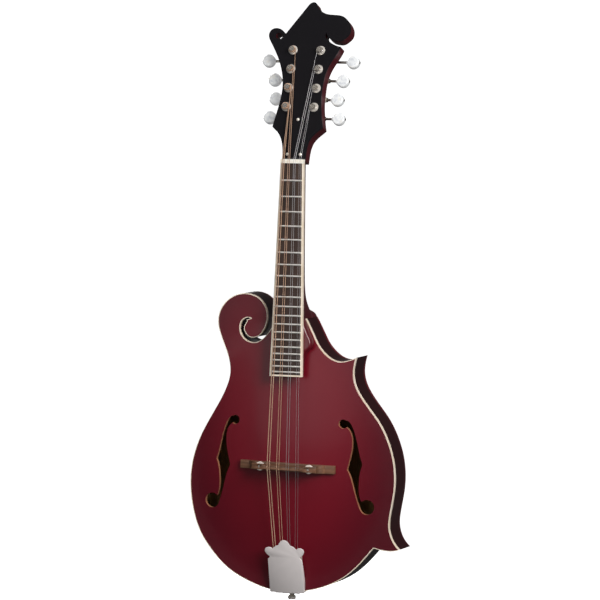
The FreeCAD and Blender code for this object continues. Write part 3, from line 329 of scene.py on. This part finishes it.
@dataclass(frozen=True)
class Moulded:
    """Polished plastic or bone with soft clouds in it."""

    name: str
    light: Colour
    dark: Colour
    rough: float = 0.25
    clouds: float = 80.0
    coat: float = 0.3
    swirl: float = 0.3

    def material(self) -> bpy.types.Material:
        """The finished material."""
        g = Graph(self.name)
        haze = g.noise(g.place(), self.clouds, 4.0, 0.55, self.swirl)
        fine = g.noise(g.place(), self.clouds * 9, 2.0)
        tint = g.mix(g.span(haze, 0.34, 0.68), self.dark, self.light)
        rough = self.rough + (fine - 0.5) * 0.1
        return g.surface(Base_Color=tint, Roughness=rough, Coat_Weight=self.coat,
                         Coat_Roughness=0.08, Normal=g.bump(haze + fine * 0.3, 0.05, 0.0003))


@dataclass(frozen=True)
class Pearl:
    """Grey-white pearl plastic with curved silky patches, and a painted glow that makes the knobs give off
    light.
    """

    name: str = "pearl_knob"
    white: Colour = paint("d6d7d6")
    grey: Colour = paint("b0b3b8")
    warm: Colour = paint("cfcbc1")
    painted_glow: float = 0.42

    def material(self) -> bpy.types.Material:
        """The finished material."""
        g = Graph(self.name)
        drift = g.noise(g.place(), 160.0, 3.0, 0.6, 1.5)
        cells = g.node("ShaderNodeTexVoronoi", {"feature": "SMOOTH_F1"},
                       {"Vector": g.place((1, 1.6, 1)), "Scale": 260.0, "Smoothness": 0.6,
                        "Randomness": 1.0})
        patch = g.out(cells, "Distance")
        share = g.clamp((drift - 0.4) * 2.2 + (patch - 0.35) * 0.9)
        tint = g.mix(share, self.white, self.grey)
        tint = g.mix(g.span(g.noise(g.place(), 90.0), 0.55, 0.75), tint, self.warm)
        # Painted light: the knobs glow with their own colour, standing in for light that the lamps don't
        # bring them.
        return g.surface(Base_Color=tint, Roughness=0.24 + share * 0.12, Coat_Weight=0.6,
                         Coat_Roughness=0.06, Emission_Color=tint, Emission_Strength=self.painted_glow,
                         Normal=g.bump(drift, 0.04, 0.0003))


class Finish(Enum):
    """Every finish used on the instrument."""

    TOP = Lacquer("top_red", paint("720c1e"), paint("500415"), bare_towards=1.0,
                  bare=paint("c09a64"), wall=paint("a06a4c"))
    RISER = Lacquer("riser_red", paint("64101e"), paint("4c0612"), shaded_rim=False, coat=0.5)
    # The back's inner face is bare wood, painted paler than the wood to stand for light reaching the
    # inside through the sound holes.
    BACK = Lacquer("back_red", paint("6a0d1c"), paint("3c0610"), grain=0.16, bare_towards=-1.0,
                   bare=paint("e0b878"), wall=paint("3a070d"))
    # Painted shade: the sides are coloured near-black so that the lit rim stays as dark as the shade on
    # it.
    SIDE = Lacquer("side_red", paint("2e050a"), paint("170305"), grain=0.2, shaded_rim=False, gleam=0.12,
                   coat=0.05)
    NECK = Lacquer("neck_red", paint("520a15"), paint("2a040b"), grain=0.16, shaded_rim=False, gleam=0.2)
    BLACK = Lacquer("head_black", paint("171518"), paint("100f12"), grain=0.05, rough=0.36,
                    shaded_rim=False, coat=0.05, gleam=0.15)
    CREAM = Moulded("cream_plastic", paint("f9ead7"), paint("eedcc2"), 0.3, 60.0)
    BONE = Moulded("bone_nut", paint("fffaf0"), paint("f4ebd9"), 0.28, 140.0)
    SPRUCE = Timber("bare_spruce", paint("b88f58"), paint("80602f"), 0.75, (160, 160, 6))
    ROSEWOOD = Timber("rosewood_board", paint("4f372b"), paint("271914"), 0.48)
    BRIDGE = Timber("rosewood_bridge", paint("94694f"), paint("4a3222"), 0.36, (10, 170, 170))
    NICKEL = Metal("polished_nickel", paint("fbf3e8"), 0.24, share=0.55)
    SHAFT = Metal("dark_nickel_shaft", paint("a9a49c"), 0.2)
    POST = Metal("worn_nickel_post", paint("ddd4c8"), 0.26, share=0.85)
    FRETS = Metal("fret_nickel", paint("f0ece5"), 0.28, (40, 1400, 1400), share=0.5)
    COVER = Metal("satin_nickel_sheet", paint("efe7e5"), 0.36, (1500, 60, 60), 0.08, share=0.16)
    BRONZE = Metal("wound_bronze", paint("f2c6a6"), 0.38, ridges=900.0, share=0.45)
    STEEL = Metal("string_steel", paint("bcb9ba"), 0.3, share=0.7)
    ROD = Metal("rod_steel", paint("8d8c8c"), 0.4)
    BRASS = Metal("turned_brass", paint("c9a55c"), 0.3)
    PEARL = Pearl()

    def on(self, *pieces: bpy.types.Object) -> None:
        """Gives this finish to pieces."""
        material = self.stock()
        for piece in pieces:
            slots = piece.material_slots
            if not slots:
                piece.data.materials.append(material)
            for slot in slots:
                slot.material = material

    def stock(self) -> bpy.types.Material:
        """The one material of this finish, made when first needed."""
        return bpy.data.materials.get(self.value.name) or self.value.material()


# ------------------------------------------------------------------------------------------
# Modelling
# ------------------------------------------------------------------------------------------
class Bench:
    """The workbench: operators that shape and finish meshes."""

    @staticmethod
    def clear() -> None:
        """Leaves nothing selected."""
        if bpy.context.object and bpy.context.object.mode != "OBJECT":
            bpy.ops.object.mode_set(mode="OBJECT")
        bpy.ops.object.select_all(action="DESELECT")

    @staticmethod
    def hold(*pieces: bpy.types.Object) -> bpy.types.Object:
        """Selects pieces, the first of them active."""
        Bench.clear()
        for piece in pieces:
            piece.hide_set(False)
            piece.select_set(True)
        bpy.context.view_layer.objects.active = pieces[0]
        return pieces[0]

    @staticmethod
    def cylinder(radius: float, depth: float, place: Sequence[float], turn: Sequence[float] = (0, 0, 0),
                 sides: int = 32) -> bpy.types.Object:
        """A closed cylinder primitive."""
        Bench.clear()
        bpy.ops.mesh.primitive_cylinder_add(vertices=sides, radius=radius, depth=depth,
                                            location=place, rotation=turn)
        return bpy.context.object

    @staticmethod
    def pick(piece: bpy.types.Object, test: Callable[[bpy.types.MeshPolygon], bool]) -> None:
        """Opens a piece in edit mode with only the faces that pass the test selected."""
        Bench.hold(piece)
        bpy.ops.object.mode_set(mode="EDIT")
        bpy.ops.mesh.select_mode(type="FACE")
        bpy.ops.mesh.select_all(action="DESELECT")
        bpy.ops.object.mode_set(mode="OBJECT")
        for face in piece.data.polygons:
            face.select = test(face)
        bpy.ops.object.mode_set(mode="EDIT")

    @staticmethod
    def done() -> None:
        """Closes edit mode."""
        bpy.ops.object.mode_set(mode="OBJECT")

    @staticmethod
    def modify(piece: bpy.types.Object, kind: str, **settings: object) -> None:
        """Adds a modifier, sets it and applies it."""
        Bench.hold(piece)
        added = piece.modifiers.new(kind.lower(), kind)
        for key, value in settings.items():
            setattr(added, key, value)
        bpy.ops.object.modifier_apply(modifier=added.name)

    @staticmethod
    def join(name: str, pieces: Sequence[bpy.types.Object]) -> bpy.types.Object:
        """Several pieces as one."""
        whole = Bench.hold(*pieces)
        if len(pieces) > 1:
            bpy.ops.object.join()
        whole.name = name
        return whole

    @staticmethod
    def settle(piece: bpy.types.Object, angle: float = 35.0) -> bpy.types.Object:
        """Puts a piece's place into its mesh, turns its faces outwards and smooths it."""
        Bench.hold(piece)
        bpy.ops.object.transform_apply(location=True, rotation=True, scale=True)
        bpy.ops.object.mode_set(mode="EDIT")
        bpy.ops.mesh.select_all(action="SELECT")
        bpy.ops.mesh.remove_doubles(threshold=1e-7)
        bpy.ops.mesh.normals_make_consistent(inside=False)
        bpy.ops.object.mode_set(mode="OBJECT")
        bpy.ops.object.shade_smooth_by_angle(angle=math.radians(angle))
        return piece

    @staticmethod
    def from_node(name: str, node: str, bevel: float, segments: int = 3) -> bpy.types.Object:
        """A copy of a CAD node with its sharp edges rounded.

        Args:
            name: the new piece's name.
            node: the CAD node that is copied.
            bevel: width of the rounding in metres.
            segments: steps across the rounding.

        Returns:
            The finished piece, which stands for the node.
        """
        Bench.hold(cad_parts[node])
        bpy.ops.object.duplicate()
        piece = bpy.context.object
        piece.parent = None
        piece.name = name
        Bench.hold(piece)
        bpy.ops.mesh.customdata_custom_splitnormals_clear()
        bpy.ops.object.mode_set(mode="EDIT")
        bpy.ops.mesh.select_all(action="SELECT")
        bpy.ops.mesh.remove_doubles(threshold=2e-6)
        bpy.ops.mesh.dissolve_limited(angle_limit=math.radians(0.6))
        bpy.ops.object.mode_set(mode="OBJECT")
        Bench.modify(piece, "BEVEL", width=bevel, segments=segments, limit_method="ANGLE",
                     angle_limit=math.radians(32), use_clamp_overlap=True, harden_normals=False)
        Bench.hold(piece)
        bpy.ops.object.shade_smooth_by_angle(angle=math.radians(40))
        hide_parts(node)
        return piece

    @staticmethod
    def wire(name: str, points: Sequence[Vector], radius: float, sides: int = 3) -> bpy.types.Object:
        """A round wire through points, as a closed mesh."""
        Bench.clear()
        bpy.ops.curve.primitive_nurbs_path_add()
        path = bpy.context.object
        path.data.splines.clear()
        run = path.data.splines.new("POLY")
        run.points.add(len(points) - 1)
        for spot, point in zip(run.points, points):
            spot.co = (*point, 1.0)
        path.data.dimensions = "3D"
        path.data.bevel_depth = radius
        path.data.bevel_resolution = sides
        path.data.use_fill_caps = True
        Bench.hold(path)
        bpy.ops.object.convert(target="MESH")
        path = bpy.context.object
        path.name = name
        return path


def handed_over(piece: bpy.types.Object, body: str, finish: Finish) -> bpy.types.Object:
    """Dresses a piece, lets it ride on a body and reports it."""
    finish.on(piece)
    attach(piece, body)
    log.info("%s rides on %s with %d faces", piece.name, body, len(piece.data.polygons))
    return piece


# ------------------------------------------------------------------------------------------
# Frames of the parts that lean
# ------------------------------------------------------------------------------------------
@dataclass(frozen=True)
class Lean:
    """A plane that leans back by an angle from a point on the centre line."""

    y: float
    z: float
    tilt: float

    def matrix(self) -> Matrix:
        """From the plane's own axes to the instrument's."""
        return Matrix.Translation((0, self.y, self.z)) @ Matrix.Rotation(math.radians(-self.tilt), 4, "X")

    def at(self, x: float, depth: float, along: float) -> Vector:
        """A point given in the plane's own axes."""
        return self.matrix() @ Vector((x, depth, along))


BOARD = Lean(-0.0237, 0.5078, 2.9)
HEAD = Lean(-0.0178, 0.5120, 19.1)
SCALE = 0.353


# ------------------------------------------------------------------------------------------
# Sub-assemblies
# ------------------------------------------------------------------------------------------
@dataclass
class Body:
    """Plates, sides, edging and the blocks inside."""

    outside: dict[str, Finish] = field(default_factory=lambda: {
        "top_plate": Finish.TOP, "board_riser": Finish.RISER, "back_plate": Finish.BACK,
        "rib_bass": Finish.SIDE, "rib_treble": Finish.SIDE, "top_binding": Finish.CREAM})
    inside: tuple[str, ...] = ("neck_block", "tail_block", "point_blocks", "top_lining",
                               "back_lining", "tone_bars")

    def dress(self) -> None:
        """Gives every node of the body its finish."""
        for node, finish in self.outside.items():
            finish.on(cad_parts[node])
        for node in self.inside:
            Finish.SPRUCE.on(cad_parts[node])
        log.info("body dressed")


@dataclass
class Neck:
    """Neck, headstock, fingerboard, frets and nut."""

    finishes: dict[str, Finish] = field(default_factory=lambda: {
        "neck": Finish.NECK, "headstock_overlay": Finish.BLACK, "truss_rod_cover": Finish.BLACK,
        "truss_rod": Finish.ROD, "truss_rod_nut": Finish.BRASS, "headstock_screws": Finish.NICKEL,
        "nut": Finish.BONE, "fretboard": Finish.ROSEWOOD, "frets": Finish.FRETS,
        "fretboard_binding": Finish.CREAM})

    def dress(self) -> None:
        """Gives every node of the neck its finish."""
        for node, finish in self.finishes.items():
            finish.on(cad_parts[node])
        log.info("neck dressed")


@dataclass
class Tuners:
    """Bushings, plates, gears and pearl knobs."""

    post_x: float = 0.0169
    first: float = 0.0640
    pitch: float = 0.0232
    axis_depth: float = 0.0216
    below_post: float = 0.0071
    reach: tuple[float, ...] = (0.0252, 0.0210, 0.0249, 0.0348)
    radius: float = 0.0075
    thick: float = 0.0080

    def knob(self, name: str) -> bpy.types.Object:
        """A pearl knob about the origin: its face along Y, its stem towards -X."""
        disc = Bench.cylinder(self.radius, self.thick, (0, 0, 0), (math.pi / 2, 0, 0), 64)
        Bench.settle(disc)
        for side in (-1, 1):
            Bench.pick(disc, lambda face, s=side: face.normal.y * s > 0.9)
            bpy.ops.mesh.inset(thickness=0.0016)
            bpy.ops.transform.translate(value=(0, side * 0.00012, 0))
            bpy.ops.mesh.inset(thickness=0.0030)
            bpy.ops.transform.translate(value=(0, side * 0.00010, 0))
            Bench.done()
        Bench.modify(disc, "BEVEL", width=0.0030, segments=6, limit_method="ANGLE",
                     angle_limit=math.radians(60))
        stem = Bench.cylinder(0.0024, 0.0026, (-self.radius + 0.0004, 0, 0), (0, math.pi / 2, 0), 32)
        Bench.pick(stem, lambda face: face.normal.z < -0.9 or face.normal.x < -0.9)
        Bench.done()
        Bench.modify(stem, "BEVEL", width=0.0006, segments=3, limit_method="ANGLE")
        return Bench.join(name, [disc, stem])

    def rivet(self, name: str) -> bpy.types.Object:
        """The shaft's burred end, proud of the knob's outer edge."""
        end = Bench.cylinder(0.0014, 0.0010, (self.radius + 0.0001, 0, 0), (0, math.pi / 2, 0), 24)
        Bench.settle(end)
        Bench.pick(end, lambda face: face.normal.x > 0.9)
        bpy.ops.mesh.inset(thickness=0.0006)
        bpy.ops.transform.translate(value=(-0.0005, 0, 0))
        Bench.done()
        end.name = name
        return end

    def place(self, number: int) -> Matrix:
        """From a knob's own axes to its place on the instrument."""
        side = -1 if number <= 4 else 1
        row = (number - 1) % 4
        spot = HEAD.matrix() @ Matrix.Translation((side * (self.post_x + self.reach[row]), self.axis_depth,
                                                   self.first + self.pitch * row - self.below_post))
        return spot @ (Matrix.Rotation(math.pi, 4, "Y") if side < 0 else Matrix.Identity(4))

    def build(self) -> None:
        """Makes the eight knobs with their rivets."""
        for number in range(1, 9):
            knob = self.knob("pearl_knob_%d" % number)
            rivet = self.rivet("knob_rivet_%d" % number)
            for piece, finish, slot in ((knob, Finish.PEARL, "pearl"), (rivet, Finish.SHAFT, "nickel")):
                piece.matrix_world = self.place(number) @ piece.matrix_world
                Bench.settle(piece)
                handed_over(piece, "tuner_knob_%d" % number, finish)
            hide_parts("button_%d" % number)

    def dress(self) -> None:
        """Gives the metal nodes their plating."""
        names = ["tuner_bushings", "tuner_plate_bass", "tuner_plate_treble"]
        for name in names:
            Finish.NICKEL.on(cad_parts[name])
        for number in range(1, 9):
            Finish.SHAFT.on(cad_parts["worm_shaft_%d" % number])
            Finish.POST.on(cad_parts["string_post_%d" % number])
        log.info("tuners dressed")


@dataclass
class Bridge:
    """Rosewood base and saddle with nickel wheels and studs."""

    def build(self) -> None:
        """Rounds the base and the saddle."""
        base = Bench.from_node("bridge_foot", "bridge_base", 0.0006)
        handed_over(base, "instrument", Finish.BRIDGE)
        saddle = Bench.from_node("bridge_top", "bridge_saddle", 0.0003, 2)
        handed_over(saddle, "saddle", Finish.BRIDGE)

    def dress(self) -> None:
        """Gives the studs and wheels their plating."""
        for name in ("bridge_studs", "thumbwheel_bass", "thumbwheel_treble"):
            Finish.NICKEL.on(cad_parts[name])


@dataclass
class Tailpiece:
    """Base with hooks, sliding cover, screws and strap button."""

    def build(self) -> None:
        """Bevels the cover's scalloped edge."""
        cover = Bench.from_node("tail_cover_plate", "tailpiece_cover", 0.00045, 2)
        handed_over(cover, "tail_cover", Finish.COVER)

    def dress(self) -> None:
        """Gives the remaining metal its plating."""
        for name in ("tailpiece_base", "tailpiece_screws", "strap_button"):
            Finish.NICKEL.on(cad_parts[name])


@dataclass
class Strings:
    """Eight strings in four pairs, from their hooks over the bridge and nut to the posts."""

    gauges: tuple[float, ...] = (0.00095, 0.00095, 0.00066, 0.00066, 0.0004, 0.0004, 0.00028, 0.00028)
    nut_span: float = 0.0224
    bridge_span: float = 0.0380
    tail_span: float = 0.0280
    pair_gaps: tuple[float, float, float] = (0.0020, 0.0029, 0.0030)
    hook_y: float = -0.0244
    hook_z: float = 0.0416
    nut_length: float = 0.0048
    nut_rise: float = 0.00145
    crown_rise: float = 0.0042
    bridge_x: float = 0.001
    bridge_skew: float = 1.4
    post_radius: float = 0.0030
    post_gap: float = 0.00025
    post_rise: float = 0.0022
    turn_count: int = 3
    turn_steps: int = 24
    steps: int = 16

    @staticmethod
    def pairs(span: float, gap: float) -> list[float]:
        """Places across the strings' path for four close pairs."""
        step = (span - gap) / 3
        middles = [-span / 2 + gap / 2 + step * pair for pair in range(4)]
        return [middle + half for middle in middles for half in (-gap / 2, gap / 2)]

    def ring(self, index: int) -> tuple[int, float, float]:
        """Side and height of a string's post, and the radius of the string's path round it."""
        side = -1 if index < 4 else 1
        row = index if index < 4 else 7 - index
        along = Tuners.first + Tuners.pitch * row
        return side, along, self.post_radius + self.gauges[index] / 2 + self.post_gap

    def corners(self, index: int) -> list[Vector]:
        """Hook, saddle, both edges of the nut, and the place where the string meets its post."""
        nut_gap, bridge_gap, tail_gap = self.pair_gaps
        skew = Matrix.Rotation(math.radians(self.bridge_skew), 4, "Y")
        crown = BOARD.at(0, -self.crown_rise, -SCALE).y
        middle = Vector((self.bridge_x, 0, BOARD.at(0, 0, -SCALE).z))
        saddle = middle + skew @ Vector((self.pairs(self.bridge_span, bridge_gap)[index], 0, 0))
        saddle.y = crown - 0.0001
        hook = Vector((self.pairs(self.tail_span, tail_gap)[index], self.hook_y, self.hook_z))
        nut_x = self.pairs(self.nut_span, nut_gap)[index]
        side, along, away = self.ring(index)
        post = HEAD.at(side * (Tuners.post_x - away), -self.post_rise, along)
        return [hook, saddle, BOARD.at(nut_x, -self.nut_rise, 0),
                BOARD.at(nut_x, -self.nut_rise, self.nut_length), post]

    def line(self, start: Vector, end: Vector) -> list[Vector]:
        """Evenly spaced points from start to end."""
        return [start.lerp(end, step / self.steps) for step in range(self.steps + 1)]

    def turns(self, index: int) -> list[Vector]:
        """Turns round the post, upwards from where the string meets it."""
        side, along, away = self.ring(index)
        points = []
        for step in range(self.turn_count * self.turn_steps + 1):
            angle = 2 * math.pi * step / self.turn_steps
            climb = self.gauges[index] * 1.05 * step / self.turn_steps
            points.append(HEAD.at(side * (Tuners.post_x - away * math.cos(angle)),
                                  -self.post_rise - climb, along + away * math.sin(angle)))
        return points

    def build(self) -> None:
        """Makes the speaking lengths, the tail lengths and the wound ends of both sets."""
        for name, finish, slot, members in (("wound", Finish.BRONZE, "bronze_wound", range(4)),
                                            ("plain", Finish.STEEL, "plain_steel", range(4, 8))):
            speaking, tails, heads = [], [], []
            for index in members:
                hook, saddle, nut, over, _ = self.corners(index)
                radius = self.gauges[index] / 2
                speaking.append(Bench.wire("run", self.line(nut, saddle), radius))
                tails.append(Bench.wire("run", self.line(hook, saddle), radius))
                heads.append(Bench.wire("run", [nut, over] + self.turns(index), radius))
            hook, saddle, nut = self.corners(members[0])[:3]
            for label, group, start in (("speaking", speaking, nut), ("tail", tails, hook)):
                piece = Bench.settle(Bench.join("%s_strings_%s" % (name, label), group), 60)
                finish.on(piece)
                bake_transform(piece)
                log.info("%s bends with the saddle", piece.name)
            head = Bench.settle(Bench.join("%s_strings_head" % name, heads), 60)
            handed_over(head, "instrument", finish)
            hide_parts("%s_strings" % name)


@dataclass
class Studio:
    """Pale floor and backdrop, soft lamps and the camera."""

    target: Vector = field(default_factory=lambda: Vector((0.00909, -0.014, 0.3490)))
    azimuth: float = 17.96
    elevation: float = 3.60
    roll: float = -0.84
    distance: float = 5.526
    lens: float = 285.6

    def build(self) -> None:
        """Sets up everything round the instrument."""
        self._camera()
        self._stage()
        self._lamps()

    def _camera(self) -> None:
        """Makes the camera that looks up the instrument from a little to the treble side."""
        az, el = math.radians(self.azimuth), math.radians(self.elevation)
        back = Vector((math.sin(az) * math.cos(el), -math.cos(az) * math.cos(el), math.sin(el)))
        right = Vector((math.cos(az), math.sin(az), 0))
        up = back.cross(right)
        turned = Matrix((right, up, back)).transposed().to_4x4()
        turned = turned @ Matrix.Rotation(math.radians(-self.roll), 4, "Z")
        data = bpy.data.cameras.new("front_camera")
        data.lens = self.lens
        data.sensor_width = 36.0
        data.clip_end = 60.0
        camera = bpy.data.objects.new("front_camera", data)
        bpy.context.collection.objects.link(camera)
        camera.matrix_world = Matrix.Translation(self.target + back * self.distance) @ turned
        bpy.context.scene.camera = camera

    def _stage(self) -> None:
        """A pale floor inside a pale room."""
        Bench.clear()
        bpy.ops.mesh.primitive_plane_add(size=30, location=(0, 0, -0.42))
        floor = bpy.context.object
        floor.name = "pale_floor"
        Bench.clear()
        bpy.ops.mesh.primitive_uv_sphere_add(segments=48, ring_count=24, radius=14.5)
        room = bpy.context.object
        room.name = "pale_room"
        g = Graph("pale_paper")
        mottle = g.noise(g.place(), 3.0)
        paper = g.surface(Base_Color=g.mix(mottle, paint("f6f6f6"), paint("f2f2f2")), Roughness=0.9,
                          Emission_Color=paint("ffffff"), Emission_Strength=1.0)
        for piece in (floor, room):
            piece.data.materials.append(paper)
            piece.visible_glossy = False
            piece.visible_diffuse = False
            piece.visible_shadow = False

    def _lamps(self) -> None:
        """Large soft lamps and an even pale surround."""
        world = bpy.data.worlds.new("studio")
        bpy.context.scene.world = world
        world.use_nodes = True
        world.node_tree.nodes["Background"].inputs[0].default_value = (1, 1, 1, 1)
        world.node_tree.nodes["Background"].inputs[1].default_value = 0.08
        for name, place, size, power in (("front_lamp", (-0.8, -3.2, 0.9), 1.7, 13),
                                         ("right_lamp", (2.6, -2.0, 1.8), 1.8, 140),
                                         ("top_lamp", (0.2, -0.8, 3.0), 1.8, 26),
                                         ("rear_lamp", (-2.2, 2.8, 1.2), 1.8, 130)):
            data = bpy.data.lights.new(name, "AREA")
            data.shape = "SQUARE"
            data.size = size
            data.energy = power
            lamp = bpy.data.objects.new(name, data)
            bpy.context.collection.objects.link(lamp)
            lamp.location = place
            lamp.rotation_euler = (self.target - Vector(place)).to_track_quat("-Z", "Y").to_euler()


def main() -> None:
    """Builds the looks in order."""
    logging.basicConfig(level=logging.INFO, format="%(message)s")
    bpy.context.scene.view_settings.view_transform = "Standard"
    Studio().build()
    for part in (Body(), Neck(), Tuners(), Bridge(), Tailpiece(), Strings()):
        if hasattr(part, "build"):
            part.build()
        if hasattr(part, "dress"):
            part.dress()


if __name__ == "__main__":
    main()
